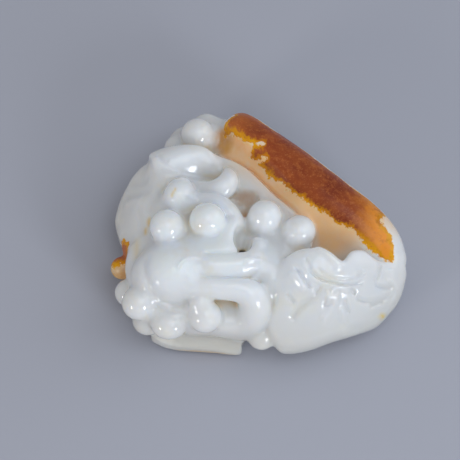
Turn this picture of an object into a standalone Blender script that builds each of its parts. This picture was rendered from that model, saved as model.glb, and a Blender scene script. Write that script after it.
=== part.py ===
"""Pierced carving of white jade: fruit, vine arms and leaves cut from one flat pebble.

Every length is in millimetres until it becomes a mesh, which is in metres.
The origin lies under the middle of the stone, on the surface that it rests on.
The long russet ridge is at the back and the right, and the fruit is at the front and the left.
"""

import math

import bmesh
import bpy
from mathutils import Matrix, Vector

NODE = "jade_carving"
MM = 0.001

# Driving dimensions of the stone
BODY_HEIGHT = 10.5
LEAF_THICKNESS = 3.4
LEAF_GRID = 48
RIDGE_RADIUS = 5.6
ARM_RADIUS = 1.8
STRAP_RADIUS = 2.2
FRUIT_RADIUS = 3.3

# Fineness of the surface
STONE_GRAIN = 0.5
CUTTER_GRAIN = 0.3
SMOOTH_TURNS = 4
KEPT_SHARE = 0.12
SEAM = 0.005

JADE_COLOUR = (0.80, 0.82, 0.80, 1.0)
JADE_ROUGHNESS = 0.14

# Outlines seen from above, as x and y
BODY = (
    (-23.9, 13.4), (-16.6, 18.9), (-8.6, 23.2), (-1.6, 22.3), (10.4, 13.4), (21.1, 4.6), (25.2, -4.4),
    (21.8, -11.0), (14.0, -15.8), (5.6, -19.4), (-0.8, -20.0), (-8.5, -20.6), (-18.2, -19.0),
    (-24.0, -13.7), (-26.1, -6.1), (-26.5, 4.0),
)
RIGHT_LEAF = (
    (8.4, -8.1), (13.5, -9.1), (15.6, -10.2), (17.6, -8.5), (22.4, -8.9), (26.1, -8.5), (28.3, -9.2),
    (27.4, -13.5), (25.9, -15.7), (22.8, -18.9), (18.9, -20.9), (14.4, -22.5), (10.5, -23.9), (5.7, -24.7),
    (2.4, -23.0), (1.5, -21.1), (2.4, -18.4), (2.9, -16.0), (4.0, -10.4), (6.1, -8.6),
)
LEFT_LEAF = (
    (-21.3, 12.7), (-24.1, 11.5), (-27.3, 6.7), (-28.1, 1.4), (-27.3, -1.6), (-25.7, -5.5), (-22.9, -8.0),
    (-17.0, -5.4), (-14.5, 1.5), (-16.0, 10.0),
)
FRONT_LEAF = (
    (-20.9, -20.0), (-17.2, -22.2), (-9.1, -23.1), (-3.9, -23.5), (-2.8, -20.4), (-4.6, -18.6),
    (-11.4, -16.8), (-18.1, -17.8),
)

# The dome that rounds the pebble, above and below: centre and radii
PEBBLE = ((0.0, 0.0, 7.6), (30.5, 27.0, 8.6))

# How a leaf falls from its summit: summit, turn of its long axis in degrees, fall along and across,
# and the height of its lowest edge
RIGHT_FALL = ((12.0, -8.5, 18.4), 31.0, 0.026, 0.056, 3.0)
LEFT_FALL = ((-16.0, 1.0, 15.0), 90.0, 0.012, 0.054, 3.6)
FRONT_FALL = ((-10.0, -15.5, 8.0), 3.0, 0.012, 0.085, 1.2)

# Limbs as rows of x, y, z and radius
RIDGE = (
    (-3.4, 18.1, 11.3, 0.84), (-1.3, 15.9, 11.3, 0.95), (1.9, 13.3, 11.2, 1.0), (7.3, 9.2, 11.0, 1.0),
    (12.7, 4.6, 10.8, 1.0), (18.3, 0.2, 10.3, 0.98), (22.0, -3.5, 9.4, 0.94), (23.6, -6.5, 8.3, 0.84),
)
RIDGE_BACK = (
    (-3.8, 17.4, 7.0, 0.84), (1.2, 13.0, 6.8, 0.9), (7.0, 8.8, 6.6, 0.9), (12.4, 4.4, 6.6, 0.9),
    (18.0, -0.2, 6.4, 0.88), (22.4, -5.0, 6.2, 0.84),
)
RIDGE_FRONT = (
    (-4.4, 14.6, 9.0, 0.75), (0.7, 9.1, 9.4, 0.7), (6.2, 4.3, 9.4, 0.7), (12.0, -0.2, 8.6, 0.7),
    (17.7, -4.4, 8.6, 0.7),
)
BACK_ARM = (
    (-10.6, 11.0, 11.4, 1.15), (-7.6, 10.9, 11.8, 1.4), (-5.6, 9.9, 12.1, 1.55), (-1.9, 6.2, 12.4, 1.5),
    (2.8, 1.2, 12.8, 1.35), (8.0, -4.8, 12.8, 1.15),
)
FRONT_ARM = (
    (-14.0, 2.4, 14.4, 0.95), (-10.8, 2.8, 15.0, 0.95), (-8.1, 2.1, 15.3, 1.05), (-5.9, 0.4, 15.3, 1.05),
    (-4.9, -1.4, 15.1, 0.95), (-5.9, -4.2, 15.6, 1.05), (-6.6, -7.4, 16.0, 1.1),
)
BRIDGE = ((-4.6, -1.8, 13.9, 0.75), (-2.5, -1.8, 13.3, 0.7), (-0.6, -2.1, 13.4, 0.85))
LOWER_STRAP = (
    (-15.6, -14.6, 14.0, 1.0), (-12.2, -14.8, 14.8, 1.1), (-7.5, -15.0, 15.0, 1.15), (-3.9, -15.4, 14.9, 1.2),
    (-1.6, -16.4, 14.1, 1.3), (-0.9, -17.7, 12.2, 1.45), (-1.1, -18.6, 9.8, 1.6), (-2.2, -18.8, 7.2, 1.65),
)
UPPER_STRAP = (
    (-11.2, -11.5, 16.9, 0.75), (-8.4, -11.8, 17.1, 0.8), (-4.7, -11.6, 16.9, 0.8), (-1.9, -11.0, 16.3, 0.8),
    (-0.2, -9.9, 15.5, 0.75), (0.4, -7.4, 15.0, 0.65),
)
TENDRIL = (
    (-14.2, 6.2, 13.2, 0.9), (-11.6, 5.9, 13.7, 0.95), (-9.2, 5.5, 14.2, 1.05), (-7.1, 5.7, 14.7, 1.25),
    (-6.0, 6.9, 14.9, 1.15), (-5.9, 8.6, 14.8, 0.7), (-6.5, 10.2, 14.5, 0.25),
)
PETAL_TIP = ((-16.1, 11.1, 14.0, 1.25), (-18.7, 11.7, 13.6, 1.0), (-20.9, 13.0, 13.5, 0.25))
OUTER_ARM = (
    (-24.4, -5.1, 9.5, 0.9), (-24.3, -9.1, 10.0, 0.9), (-23.2, -12.7, 10.8, 0.85), (-20.5, -15.8, 11.2, 0.8),
    (-16.6, -17.9, 11.5, 0.7), (-13.2, -18.8, 11.5, 0.7),
)

# Round fruit as x, y, z and radius over FRUIT_RADIUS
FRUIT = {
    "crown": (-9.9, -2.2, 16.9, 1.06), "left": (-17.7, -3.0, 16.0, 1.0), "bud": (-15.4, 3.7, 15.6, 0.94),
    "middle": (1.1, -0.6, 15.2, 1.0), "right": (7.7, -3.6, 15.2, 0.95), "back": (-12.0, 18.4, 12.5, 1.0),
    "back_under": (-10.3, 21.6, 8.5, 0.94), "back_side": (-15.6, 16.9, 9.0, 0.94),
    "corner": (-22.9, -16.9, 11.5, 1.0), "corner_under": (-25.1, -13.4, 8.0, 0.82),
    "front_low": (-21.4, -18.4, 6.5, 0.9), "front_left": (-17.2, -20.4, 9.5, 0.96),
    "front": (-10.3, -19.6, 11.5, 0.97), "front_over": (-11.2, -17.8, 13.5, 0.7),
    "russet": (-26.5, -7.4, 6.0, 0.68), "under_hook": (0.5, -21.4, 6.0, 0.85),
}

# Swellings that fill the stone between the carved forms: centre and radii
SWELLINGS = (
    ((-13.4, 1.9, 11.0), (10.0, 8.0, 4.8)),
    ((1.2, -0.6, 10.0), (10.0, 5.0, 4.6)),
    ((-10.6, -9.9, 12.0), (12.5, 7.5, 6.0)),
    ((-11.6, 19.0, 8.0), (6.5, 4.5, 4.0)),
    ((-16.9, -11.4, 12.3), (6.3, 6.4, 6.4)),
    ((-7.5, -10.0, 12.4), (9.0, 5.6, 5.7)),
    ((-0.4, -9.2, 12.4), (4.4, 4.9, 4.8)),
    ((-0.3, -6.6, 14.9), (1.7, 1.7, 1.7)),
    ((-14.4, 11.1, 13.4), (5.8, 3.0, 3.5)),
    ((-7.5, 8.0, 8.0), (7.0, 5.0, 3.6)),
    ((1.6, -11.6, 11.0), (4.0, 5.4, 4.2)),
    ((3.2, -5.6, 11.0), (5.0, 3.6, 3.8)),
    ((5.6, 1.6, 9.0), (6.0, 4.4, 4.0)),
    ((-17.0, -18.0, 7.6), (6.5, 3.4, 3.6)),
    ((-6.0, -19.0, 7.0), (6.0, 3.4, 3.8)),
)

# Hollows and grooves as rows of x, y, z and radius
RECESS = ((-1.4, 3.8, 14.6, 1.2), (-3.5, 3.8, 13.9, 1.4), (-2.8, 2.2, 13.2, 1.1))
CRESCENT = ((-12.4, 7.5, 15.2, 0.7), (-10.3, 7.6, 14.8, 0.9), (-8.3, 7.9, 14.8, 0.9), (-7.6, 9.2, 15.0, 0.7))
NECK = ((-3.1, -3.9, 17.4, 1.3), (-3.1, -5.4, 15.8, 1.7), (-3.1, -6.5, 14.6, 1.3))
BORE = ((-3.1, -6.7, 14.6, 1.0), (-3.3, -5.9, 10.0, 1.0), (-3.4, -4.0, 5.0, 1.0), (-3.5, -1.0, -2.0, 1.0))
HOOK_EYE = (
    (-8.3, -17.3, 15.4, 0.7), (-6.2, -18.4, 14.4, 1.2), (-4.4, -18.8, 14.0, 1.0), (-6.7, -20.6, 13.8, 0.7),
)
LEAF_HOLLOW = ((11.4, -5.2, 16.0, 1.2), (13.6, -6.0, 14.4, 1.5), (15.7, -7.0, 14.0, 1.3))
STRAP_GROOVE = ((-10.4, -13.6, 17.9, 0.6), (-6.0, -13.7, 17.8, 0.65), (-1.6, -12.9, 17.2, 0.65))
CENTRE_VEIN = ((17.7, -15.4, 13.9, 0.6), (22.0, -16.0, 10.5, 0.6), (25.6, -13.9, 9.0, 0.5))
SIDE_VEIN = ((6.5, -20.0, 12.9, 0.55), (9.9, -17.2, 15.3, 0.6), (12.1, -15.9, 15.9, 0.5))
LEAF_ROLL = ((9.8, -13.0, 17.7, 0.6), (14.3, -14.6, 16.2, 0.7), (20.2, -13.1, 14.3, 0.6))


def clear_scene():
    for thing in list(bpy.data.objects):
        bpy.data.objects.remove(thing)


def new_collection(name):
    collection = bpy.data.collections.new(name)
    bpy.context.scene.collection.children.link(collection)
    return collection


def jade_material():
    material = bpy.data.materials.new("white_jade")
    material.use_nodes = True
    shader = material.node_tree.nodes["Principled BSDF"]
    shader.inputs["Base Color"].default_value = JADE_COLOUR
    shader.inputs["Roughness"].default_value = JADE_ROUGHNESS
    shader.inputs["Metallic"].default_value = 0.0
    return material


def read_mesh(guide):
    """The mesh of an object with its modifiers done. The object itself is removed."""
    bpy.context.scene.collection.objects.link(guide)
    evaluated = guide.evaluated_get(bpy.context.evaluated_depsgraph_get())
    mesh = bpy.data.meshes.new_from_object(evaluated)
    bpy.data.objects.remove(guide)
    return mesh


def add_mesh(solid, mesh):
    """Close the seams of one shape and add it to the solid."""
    shape = bmesh.new()
    shape.from_mesh(mesh)
    bmesh.ops.remove_doubles(shape, verts=shape.verts, dist=SEAM * MM)
    bmesh.ops.recalc_face_normals(shape, faces=shape.faces)
    shape.to_mesh(mesh)
    shape.free()
    solid.from_mesh(mesh)


def add_ball(solid, centre, radii):
    place = Matrix.LocRotScale(Vector(centre) * MM, None, Vector(radii) * MM)
    bmesh.ops.create_uvsphere(solid, u_segments=32, v_segments=20, radius=1.0, matrix=place)


def add_limb(solid, rows, radius):
    """A round bar along a smooth line, with a ball at each end."""
    curve = bpy.data.curves.new("limb", "CURVE")
    curve.dimensions = "3D"
    curve.bevel_depth = radius * MM
    curve.bevel_resolution = 4
    curve.resolution_u = 6
    curve.use_fill_caps = True
    spline = curve.splines.new("BEZIER")
    spline.bezier_points.add(len(rows) - 1)
    for point, row in zip(spline.bezier_points, rows):
        point.co = Vector(row[:3]) * MM
        point.radius = row[3]
        point.handle_left_type = "AUTO"
        point.handle_right_type = "AUTO"
    add_mesh(solid, read_mesh(bpy.data.objects.new("limb", curve)))
    for row in (rows[0], rows[-1]):
        add_ball(solid, row[:3], [radius * row[3]] * 3)


def slab_object(outline, bottom, top):
    """A flat piece of the given outline between two heights."""
    curve = bpy.data.curves.new("slab", "CURVE")
    curve.dimensions = "2D"
    curve.fill_mode = "BOTH"
    curve.extrude = (top - bottom) / 2 * MM
    curve.resolution_u = 8
    spline = curve.splines.new("BEZIER")
    spline.bezier_points.add(len(outline) - 1)
    spline.use_cyclic_u = True
    for point, (x, y) in zip(spline.bezier_points, outline):
        point.co = Vector((x, y, 0.0)) * MM
        point.handle_left_type = "AUTO"
        point.handle_right_type = "AUTO"
    solid = bmesh.new()
    add_mesh(solid, read_mesh(bpy.data.objects.new("slab", curve)))
    bmesh.ops.translate(solid, verts=solid.verts, vec=(0.0, 0.0, (top + bottom) / 2 * MM))
    return bmesh_object("slab", solid)


def bmesh_object(name, solid):
    mesh = bpy.data.meshes.new(name)
    solid.to_mesh(mesh)
    solid.free()
    return bpy.data.objects.new(name, mesh)


def ball_object(centre, radii):
    solid = bmesh.new()
    add_ball(solid, centre, radii)
    return bmesh_object("ball", solid)


def combine(piece, other, operation):
    change = piece.modifiers.new(operation.lower(), "BOOLEAN")
    change.operation = operation
    change.solver = "EXACT"
    change.object = other
    return change


def keep_inside(piece, guides):
    """The part of a piece that lies inside every guide."""
    for guide in guides:
        bpy.context.scene.collection.objects.link(guide)
        combine(piece, guide, "INTERSECT")
    mesh = read_mesh(piece)
    for guide in guides:
        bpy.data.objects.remove(guide)
    return mesh


def add_leaf(solid, outline, fall, thickness):
    """A curved sheet that falls away from its summit, trimmed to the outline of the leaf."""
    (summit_x, summit_y, summit_z), turn, along, across, foot = fall
    long_axis = Vector((math.cos(math.radians(turn)), math.sin(math.radians(turn))))
    middle = sum((Vector(point) for point in outline), Vector((0.0, 0.0))) / len(outline)
    reach = max((Vector(point) - middle).length for point in outline) + 2.0
    sheet = bmesh.new()
    place = Matrix.Translation((middle.x, middle.y, 0.0))
    bmesh.ops.create_grid(sheet, x_segments=LEAF_GRID, y_segments=LEAF_GRID, size=reach, matrix=place)
    for corner in sheet.verts:
        out = Vector((corner.co.x - summit_x, corner.co.y - summit_y))
        u = out.dot(long_axis)
        v = out.cross(long_axis)
        corner.co.z = summit_z - along * u * u - across * v * v
        corner.co *= MM
    leaf = bmesh_object("leaf", sheet)
    shell = leaf.modifiers.new("shell", "SOLIDIFY")
    shell.thickness = thickness * MM
    shell.offset = -1.0
    add_mesh(solid, keep_inside(leaf, [slab_object(outline, foot, summit_z + 1.0)]))


def stone_object():
    """The pebble with everything that stands up from it, as overlapping shapes."""
    solid = bmesh.new()
    add_mesh(solid, keep_inside(slab_object(BODY, 0.0, BODY_HEIGHT), [ball_object(*PEBBLE)]))
    for rows in (RIDGE, RIDGE_BACK, RIDGE_FRONT):
        add_limb(solid, rows, RIDGE_RADIUS)
    for centre, radii in SWELLINGS:
        add_ball(solid, centre, radii)
    for outline, fall in ((RIGHT_LEAF, RIGHT_FALL), (LEFT_LEAF, LEFT_FALL), (FRONT_LEAF, FRONT_FALL)):
        add_leaf(solid, outline, fall, LEAF_THICKNESS)
    for rows in (BACK_ARM, FRONT_ARM, BRIDGE, TENDRIL, PETAL_TIP, OUTER_ARM):
        add_limb(solid, rows, ARM_RADIUS)
    for rows in (LOWER_STRAP, UPPER_STRAP):
        add_limb(solid, rows, STRAP_RADIUS)
    for x, y, z, share in FRUIT.values():
        add_ball(solid, (x, y, z), [FRUIT_RADIUS * share] * 3)
    return bmesh_object(NODE, solid)


def hollows_object():
    solid = bmesh.new()
    for rows in (RECESS, CRESCENT, NECK, BORE, HOOK_EYE, LEAF_HOLLOW):
        add_limb(solid, rows, 1.0)
    for rows in (STRAP_GROOVE, CENTRE_VEIN, SIDE_VEIN, LEAF_ROLL):
        add_limb(solid, rows, 1.0)
    hollows = bmesh_object("hollows", solid)
    grain(hollows, CUTTER_GRAIN)
    return hollows


def ground_object():
    """The flat spot on the underside is where the stone meets this block."""
    solid = bmesh.new()
    place = Matrix.LocRotScale(Vector((0.0, 0.0, -5.0)) * MM, None, Vector((80.0, 80.0, 10.0)) * MM)
    bmesh.ops.create_cube(solid, size=1.0, matrix=place)
    return bmesh_object("ground", solid)


def grain(piece, size):
    """Melt overlapping shapes into one skin."""
    skin = piece.modifiers.new("grain", "REMESH")
    skin.mode = "VOXEL"
    skin.voxel_size = size * MM
    skin.adaptivity = 0.0


def soften(piece, turns):
    polish = piece.modifiers.new("polish", "SMOOTH")
    polish.factor = 0.5
    polish.iterations = turns


def build():
    clear_scene()
    parts = new_collection(NODE)
    cutters = new_collection("cutters")
    carving = stone_object()
    carving.data.materials.append(jade_material())
    parts.objects.link(carving)
    hollows = hollows_object()
    ground = ground_object()
    for cutter in (hollows, ground):
        cutters.objects.link(cutter)
        cutter.hide_render = True
        cutter.display_type = "WIRE"
    grain(carving, STONE_GRAIN)
    combine(carving, hollows, "DIFFERENCE")
    grain(carving, STONE_GRAIN)
    soften(carving, SMOOTH_TURNS)
    fewer = carving.modifiers.new("facets", "DECIMATE")
    fewer.ratio = KEPT_SHARE
    combine(carving, ground, "DIFFERENCE")


build()
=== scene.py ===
import math
from collections import namedtuple

import bpy
import numpy as np
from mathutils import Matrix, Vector


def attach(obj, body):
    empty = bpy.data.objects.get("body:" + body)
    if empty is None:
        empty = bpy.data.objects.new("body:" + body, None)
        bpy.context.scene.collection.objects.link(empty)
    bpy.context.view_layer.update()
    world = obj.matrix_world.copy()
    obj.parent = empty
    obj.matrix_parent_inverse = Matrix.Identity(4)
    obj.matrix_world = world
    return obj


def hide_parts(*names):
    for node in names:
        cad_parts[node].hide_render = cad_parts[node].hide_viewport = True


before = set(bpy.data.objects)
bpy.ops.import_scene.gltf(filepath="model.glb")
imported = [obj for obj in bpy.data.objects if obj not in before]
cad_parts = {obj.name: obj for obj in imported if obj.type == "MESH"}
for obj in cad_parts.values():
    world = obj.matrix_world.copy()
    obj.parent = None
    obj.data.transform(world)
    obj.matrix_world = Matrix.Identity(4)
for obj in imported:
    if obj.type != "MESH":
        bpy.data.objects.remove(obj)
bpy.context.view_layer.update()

# The stone is carved as a grid of distances to its surface. All lengths are in millimetres,
# in the frame's own axes, until mesh_from makes the mesh.
STEP = 0.2
MESH_STEP = 0.32
BLOCK = ((-31.0, -27.0, -1.0), (31.0, 27.0, 23.0))
# The distance that the empty block starts with, one past any shape, a height above the stone, and the
# height that no sheet reaches
EMPTY = 9.0
FAR = 99.0
SKY = 40.0
SHEET_TOP = 21.0
# The least squared slope of the distance that a move to the surface divides by
LEAST_SLOPE = 0.05
MM_PER_METRE = 1000

Shape = namedtuple("Shape", "low high distance")


def smooth_min(a, b, blend):
    """The lower of two distances, with a fillet of about the size of blend."""
    reach = np.maximum(blend - np.abs(a - b), 0) / blend
    return np.minimum(a, b) - reach * reach * blend * 0.25


def smooth_max(a, b, blend):
    return -smooth_min(-a, -b, blend)


def smooth_step(t):
    return t * t * (3 - 2 * t)


def through(rows, per_span=6, closed=False):
    """Points on a smooth line through rows of numbers."""
    p = np.asarray(rows, float)
    if closed:
        p = np.concatenate([p[-1:], p, p[:2]])
    else:
        p = np.concatenate([2 * p[:1] - p[1:2], p, 2 * p[-1:] - p[-2:-1]])
    t = np.linspace(0, 1, per_span, endpoint=False)[:, None]
    spans = []
    for a, b, c, d in zip(p[:-3], p[1:-2], p[2:-1], p[3:]):
        spans.append(0.5 * (2 * b + (c - a) * t + (2 * a - 5 * b + 4 * c - d) * t ** 2
                            + (3 * b - a - 3 * c + d) * t ** 3))
    if not closed:
        spans.append(p[-2:-1])
    return np.concatenate(spans)


class Stone:
    """A block of stone as a grid of distances to its surface, negative inside."""

    def __init__(self, low, high, step):
        self.low = np.array(low, float)
        self.step = step
        self.count = np.ceil((np.array(high) - self.low) / step).astype(int) + 1
        self.value = np.full(self.count, EMPTY, np.float32)

    def window(self, low, high):
        """The part of the grid between two corners, and its coordinates."""
        first = np.floor((np.asarray(low) - self.low) / self.step).astype(int)
        last = np.ceil((np.asarray(high) - self.low) / self.step).astype(int) + 1
        first = np.clip(first, 0, self.count - 1)
        last = np.clip(last, 1, self.count)
        cut = tuple(slice(a, b) for a, b in zip(first, last))
        axes = [(self.low[k] + self.step * np.arange(first[k], last[k])).astype(np.float32)
                for k in range(3)]
        return cut, np.meshgrid(*axes, indexing="ij", sparse=True)

    def around(self, shape, blend):
        """The part of the grid that a shape and its fillet can change."""
        edge = 3 * self.step
        return self.window(shape.low - blend - edge, shape.high + blend + edge)

    def add(self, shape, blend=0.5):
        cut, grid = self.around(shape, blend)
        self.value[cut] = smooth_min(self.value[cut], shape.distance(*grid), blend)

    def carve(self, shape, blend=0.5):
        cut, grid = self.around(shape, blend)
        self.value[cut] = smooth_max(self.value[cut], -shape.distance(*grid), blend)

    def keep(self, shape, blend):
        """Leaves only what lies inside a shape."""
        cut, grid = self.window(self.low, (SKY, SKY, SKY))
        self.value[cut] = smooth_max(self.value[cut], shape.distance(*grid), blend)

    def emboss(self, rows, height, width, floor, ends=0.2):
        """Raises the stone above a floor along a line seen from above, or sinks it where height is
        negative. The line fades out over its ends, given as a share of its length."""
        line = through([row[:2] for row in rows])
        reach = 2.2 * width
        cut, (x, y, z) = self.window((*(line.min(0) - reach), floor), (*(line.max(0) + reach), SKY))
        x, y = np.broadcast_arrays(x[:, :, 0], y[:, :, 0])
        best = np.full(x.shape, FAR)
        along = np.zeros(x.shape)
        for i, (a, b) in enumerate(zip(line[:-1], line[1:])):
            d = b - a
            t = np.clip(((x - a[0]) * d[0] + (y - a[1]) * d[1]) / (d @ d), 0, 1)
            gap = np.hypot(x - a[0] - t * d[0], y - a[1] - t * d[1])
            along = np.where(gap < best, (i + t) / (len(line) - 1), along)
            best = np.minimum(gap, best)
        fade = np.clip(np.minimum(along, 1 - along) / ends, 0, 1)
        profile = height * np.exp(-(best / width) ** 2) * smooth_step(fade)
        self.value[cut] -= profile.astype(np.float32)[:, :, None]


def ball(centre, radii, turn=0.0):
    """A ball or an egg, turned about Z by an angle in degrees."""
    c = np.asarray(centre, float)
    r = np.broadcast_to(np.asarray(radii, float), 3)
    cos, sin = np.cos(np.radians(turn)), np.sin(np.radians(turn))

    def distance(x, y, z):
        u = (x - c[0]) * cos + (y - c[1]) * sin
        v = (y - c[1]) * cos - (x - c[0]) * sin
        w = z - c[2]
        near = np.sqrt((u / r[0]) ** 2 + (v / r[1]) ** 2 + (w / r[2]) ** 2)
        steep = np.sqrt((u / r[0] ** 2) ** 2 + (v / r[1] ** 2) ** 2 + (w / r[2] ** 2) ** 2) + 1e-6
        return near * (near - 1) / steep
    return Shape(c - r.max(), c + r.max(), distance)


def bar(rows, flat=1.0, cuts=()):
    """A round bar along a smooth line of x, y, z and radius. flat over 1 makes it lower than wide.
    Each cut is a point, a direction and a fillet: what lies past that plane is left off."""
    line = through(rows)
    reach = line[:, 3].max() / min(flat, 1.0)

    def distance(x, y, z):
        best = np.float32(FAR)
        for a, b in zip(line[:-1], line[1:]):
            d = b[:3] - a[:3]
            t = np.clip(((x - a[0]) * d[0] + (y - a[1]) * d[1] + (z - a[2]) * d[2]) / (d @ d), 0, 1)
            ox, oy, oz = x - a[0] - t * d[0], y - a[1] - t * d[1], (z - a[2] - t * d[2]) * flat
            radius = a[3] + t * (b[3] - a[3])
            best = np.minimum(best, np.sqrt(ox * ox + oy * oy + oz * oz) - radius)
        for point, way, blend in cuts:
            past = (x - point[0]) * way[0] + (y - point[1]) * way[1] + (z - point[2]) * way[2]
            best = smooth_max(best, past, blend)
        return best
    return Shape(line[:, :3].min(0) - reach, line[:, :3].max(0) + reach, distance)


def ring_distance(ring, x, y):
    """Distance to a closed ring of straight lines seen from above, negative inside."""
    best = np.full(np.broadcast(x, y).shape, FAR)
    inside = np.zeros(best.shape, bool)
    for (ax, ay), (bx, by) in zip(ring, np.roll(ring, -1, axis=0)):
        ex, ey = bx - ax, by - ay
        t = np.clip(((x - ax) * ex + (y - ay) * ey) / (ex * ex + ey * ey + 1e-12), 0, 1)
        best = np.minimum(best, np.hypot(x - ax - t * ex, y - ay - t * ey))
        inside ^= ((ay > y) != (by > y)) & (x < ex * (y - ay) / (ey if ey else 1e-12) + ax)
    return np.where(inside, -best, best)


def sheet(outline, top, bottom, edge):
    """The stone inside a smooth outline, between a top and a bottom given as functions of x and y,
    with a rounded edge."""
    ring = through(outline, per_span=8, closed=True)
    low, high = np.append(ring.min(0), 0.0), np.append(ring.max(0), SHEET_TOP)

    def distance(x, y, z):
        px, py = np.broadcast_arrays(x[:, :, 0], y[:, :, 0])
        side = ring_distance(ring, px, py)[:, :, None]
        step = float(px[1, 0] - px[0, 0])
        upper, lower = top(px, py), bottom(px, py)
        slope_x, slope_y = np.gradient(upper, step)
        lean = np.sqrt(1 + slope_x ** 2 + slope_y ** 2)[:, :, None]
        above = (z - upper[:, :, None]) / lean
        below = (lower[:, :, None] - z) / lean
        face = np.maximum(above, below)
        a, b = side + edge, face + edge
        return np.hypot(np.maximum(a, 0), np.maximum(b, 0)) + np.minimum(np.maximum(a, b), 0) - edge
    return Shape(low, high, distance)


def leaf(outline, top, thickness, edge, foot=-FAR):
    """A sheet of even thickness that stops at its foot."""
    return sheet(outline, top, lambda x, y: np.maximum(top(x, y) - thickness, foot), edge)


def level(height):
    """A flat face at that height."""
    return lambda x, y: np.full(x.shape, height)


def fall(summit, turn, along, across):
    """Height of a sheet that falls away from its summit, by its own rate along and across its axis."""
    cos, sin = np.cos(np.radians(turn)), np.sin(np.radians(turn))

    def height(x, y):
        u = (x - summit[0]) * cos + (y - summit[1]) * sin
        v = (x - summit[0]) * sin - (y - summit[1]) * cos
        return summit[2] - along * u * u - across * v * v
    return height


# Pebble and ridge. A bar's rows are x, y, z and radius
BODY = ((-23.6, 12.6), (-16.6, 18.4), (-8.6, 22.6), (-1.6, 21.6), (10.4, 13.0), (21.1, 4.2),
        (24.8, -4.4), (22.4, -11.0), (14.6, -16.2), (5.6, -20.2), (-0.8, -20.0), (-8.5, -20.6),
        (-18.2, -19.0), (-23.6, -13.7), (-25.8, -6.1), (-26.2, 4.0))
BODY_TOP = 10.8
PEBBLE = ((0.0, 0.0, 8.0), (31.0, 27.5, 10.2))
RIDGE = ((-7.6, 19.7, 11.3, 5.0), (-3.6, 18.0, 11.3, 5.2), (-1.3, 16.1, 11.3, 5.4),
         (1.9, 13.3, 11.2, 5.7), (7.3, 9.2, 11.0, 5.7), (12.7, 4.6, 10.8, 5.7), (18.3, 0.2, 10.3, 5.6),
         (22.0, -3.5, 9.4, 5.4), (23.8, -6.6, 8.2, 4.8))
RIDGE_BACK = ((-3.8, 17.4, 7.0, 4.6), (1.2, 13.0, 6.8, 5.1), (7.0, 8.8, 6.6, 5.1),
              (12.4, 4.4, 6.6, 5.1), (18.0, -0.2, 6.4, 5.0), (22.4, -5.0, 6.2, 4.6))
RIDGE_FRONT = ((-4.6, 14.4, 8.8, 4.2), (0.4, 9.2, 9.2, 4.4), (6.0, 4.4, 9.4, 4.4),
               (12.0, -0.2, 9.2, 4.4), (17.7, -4.4, 8.6, 4.4))
# Planes that cut the ridge's left end: a point, a direction and a fillet
RIDGE_END = (
    ((-7.1, 17.0, 12.0), (-0.97, -0.2, 0.1), 1.2),
    ((-4.6, 15.9, 12.5), (-0.7, -0.62, 0.35), 1.0),
    ((-6.2, 21.6, 13.0), (-0.62, 0.7, 0.35), 1.6),
)

# Leaves
RIGHT_LEAF = ((8.4, -8.1), (11.4, -8.3), (13.5, -9.1), (15.6, -10.4), (17.4, -8.4), (20.0, -7.8),
              (22.6, -8.9), (26.1, -8.5), (28.5, -8.6), (28.3, -10.9), (27.4, -13.5), (25.9, -15.7),
              (22.8, -18.9), (18.9, -20.9), (14.4, -22.5), (10.5, -23.9), (7.8, -24.5), (5.7, -24.7),
              (4.0, -24.4), (2.4, -23.0), (1.5, -21.1), (2.4, -18.6), (2.9, -16.3), (2.7, -13.6),
              (4.0, -10.4), (6.1, -8.7))
LEFT_LEAF = ((-21.3, 12.7), (-24.1, 11.5), (-25.8, 9.3), (-27.3, 6.7), (-28.2, 3.7), (-28.1, 1.4),
             (-27.3, -1.6), (-26.4, -3.8), (-25.7, -5.5), (-22.9, -8.0), (-17.0, -5.4), (-14.5, 1.5),
             (-15.0, 9.0))
FRONT_LEAF = ((-20.9, -20.2), (-19.4, -21.6), (-17.2, -22.4), (-14.9, -22.8), (-9.1, -23.2),
              (-3.9, -23.6), (-3.3, -21.8), (-2.7, -20.4), (-4.6, -18.6), (-11.4, -16.8),
              (-18.1, -17.8))
PETAL = ((-21.3, 13.3), (-19.1, 14.5), (-16.4, 14.8), (-11.9, 14.4), (-9.3, 13.2), (-9.2, 10.8),
         (-10.5, 9.2), (-12.4, 8.2), (-15.1, 7.8), (-18.1, 7.8), (-20.0, 9.4), (-20.9, 12.0))
right_top = fall((12.0, -8.5, 18.4), turn=31.0, along=0.026, across=0.056)
left_top = fall((-16.0, 1.0, 15.0), turn=90.0, along=0.012, across=0.054)
front_top = fall((-10.0, -15.5, 8.0), turn=3.0, along=0.012, across=0.085)
petal_top = fall((-15.3, 12.2, 16.7), turn=20.0, along=0.022, across=0.17)

# Arms, straps and the knot between them
BACK_ARM = ((-10.6, 11.0, 11.2, 2.2), (-7.6, 10.9, 11.6, 3.0), (-5.6, 9.9, 11.8, 3.4),
            (-3.9, 8.2, 12.0, 3.5), (-1.9, 6.2, 12.3, 3.4), (0.5, 3.6, 12.6, 3.1),
            (2.8, 1.2, 12.8, 2.8), (5.4, -1.3, 12.8, 2.5), (8.0, -4.8, 12.8, 2.2))
FRONT_ARM = ((-14.0, 2.4, 14.2, 1.8), (-10.8, 2.8, 14.8, 1.8), (-8.1, 2.1, 15.1, 2.0),
             (-5.9, 0.4, 15.1, 2.0), (-4.9, -1.4, 15.0, 1.8), (-5.9, -4.2, 15.6, 2.0),
             (-6.6, -7.4, 16.0, 2.0))
OUTER_ARM = ((-22.6, -4.6, 10.2, 2.2), (-23.4, -8.6, 10.2, 2.4), (-22.8, -12.4, 10.6, 2.2),
             (-20.3, -15.6, 11.2, 1.8), (-16.6, -17.7, 11.6, 1.5), (-13.2, -18.6, 11.6, 1.4))
BRIDGE = ((-4.6, -1.8, 13.8, 1.3), (-2.5, -1.8, 13.1, 1.1), (-0.6, -2.1, 13.2, 1.5))
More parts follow.
